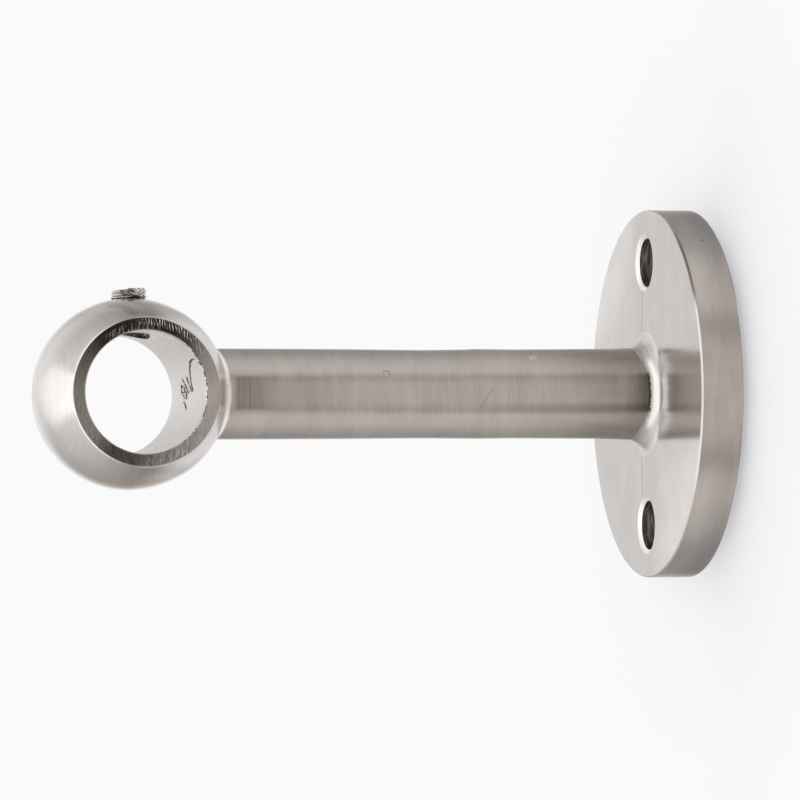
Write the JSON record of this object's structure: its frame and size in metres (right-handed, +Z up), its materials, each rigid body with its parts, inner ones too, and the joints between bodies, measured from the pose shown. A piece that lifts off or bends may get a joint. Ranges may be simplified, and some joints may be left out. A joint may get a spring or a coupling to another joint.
{
  "type": "curtain pole bracket",
  "caption": "Wall bracket for a curtain pole: a round wall plate, a round stem and a barrel-shaped eye that takes the pole, with a grub screw that clamps it.",
  "frame": {"origin": "centre of the wall plate's back face, where it meets the wall", "axes": "+X points into the wall, so the stem and eye reach along -X; the pole runs along Y; +Z is up, and the grub screw stands in the top of the eye"},
  "size_m": [0.092, 0.051, 0.051],
  "materials": {
    "satin_nickel": "satin nickel, brushed by hand",
    "bright_nickel": "bright nickel, chewed at the slot"
  },
  "bodies": {
    "bracket": {"cast_bracket": "satin_nickel"},
    "clamp_screw": {"grub_screw": "bright_nickel"}
  },
  "joints": [
    {"name": "clamp_travel", "type": "slide", "parent": "bracket", "child": "clamp_screw", "axis": [0, 0, 1], "range_m": [-0.0013, 0.002]}
  ]
}
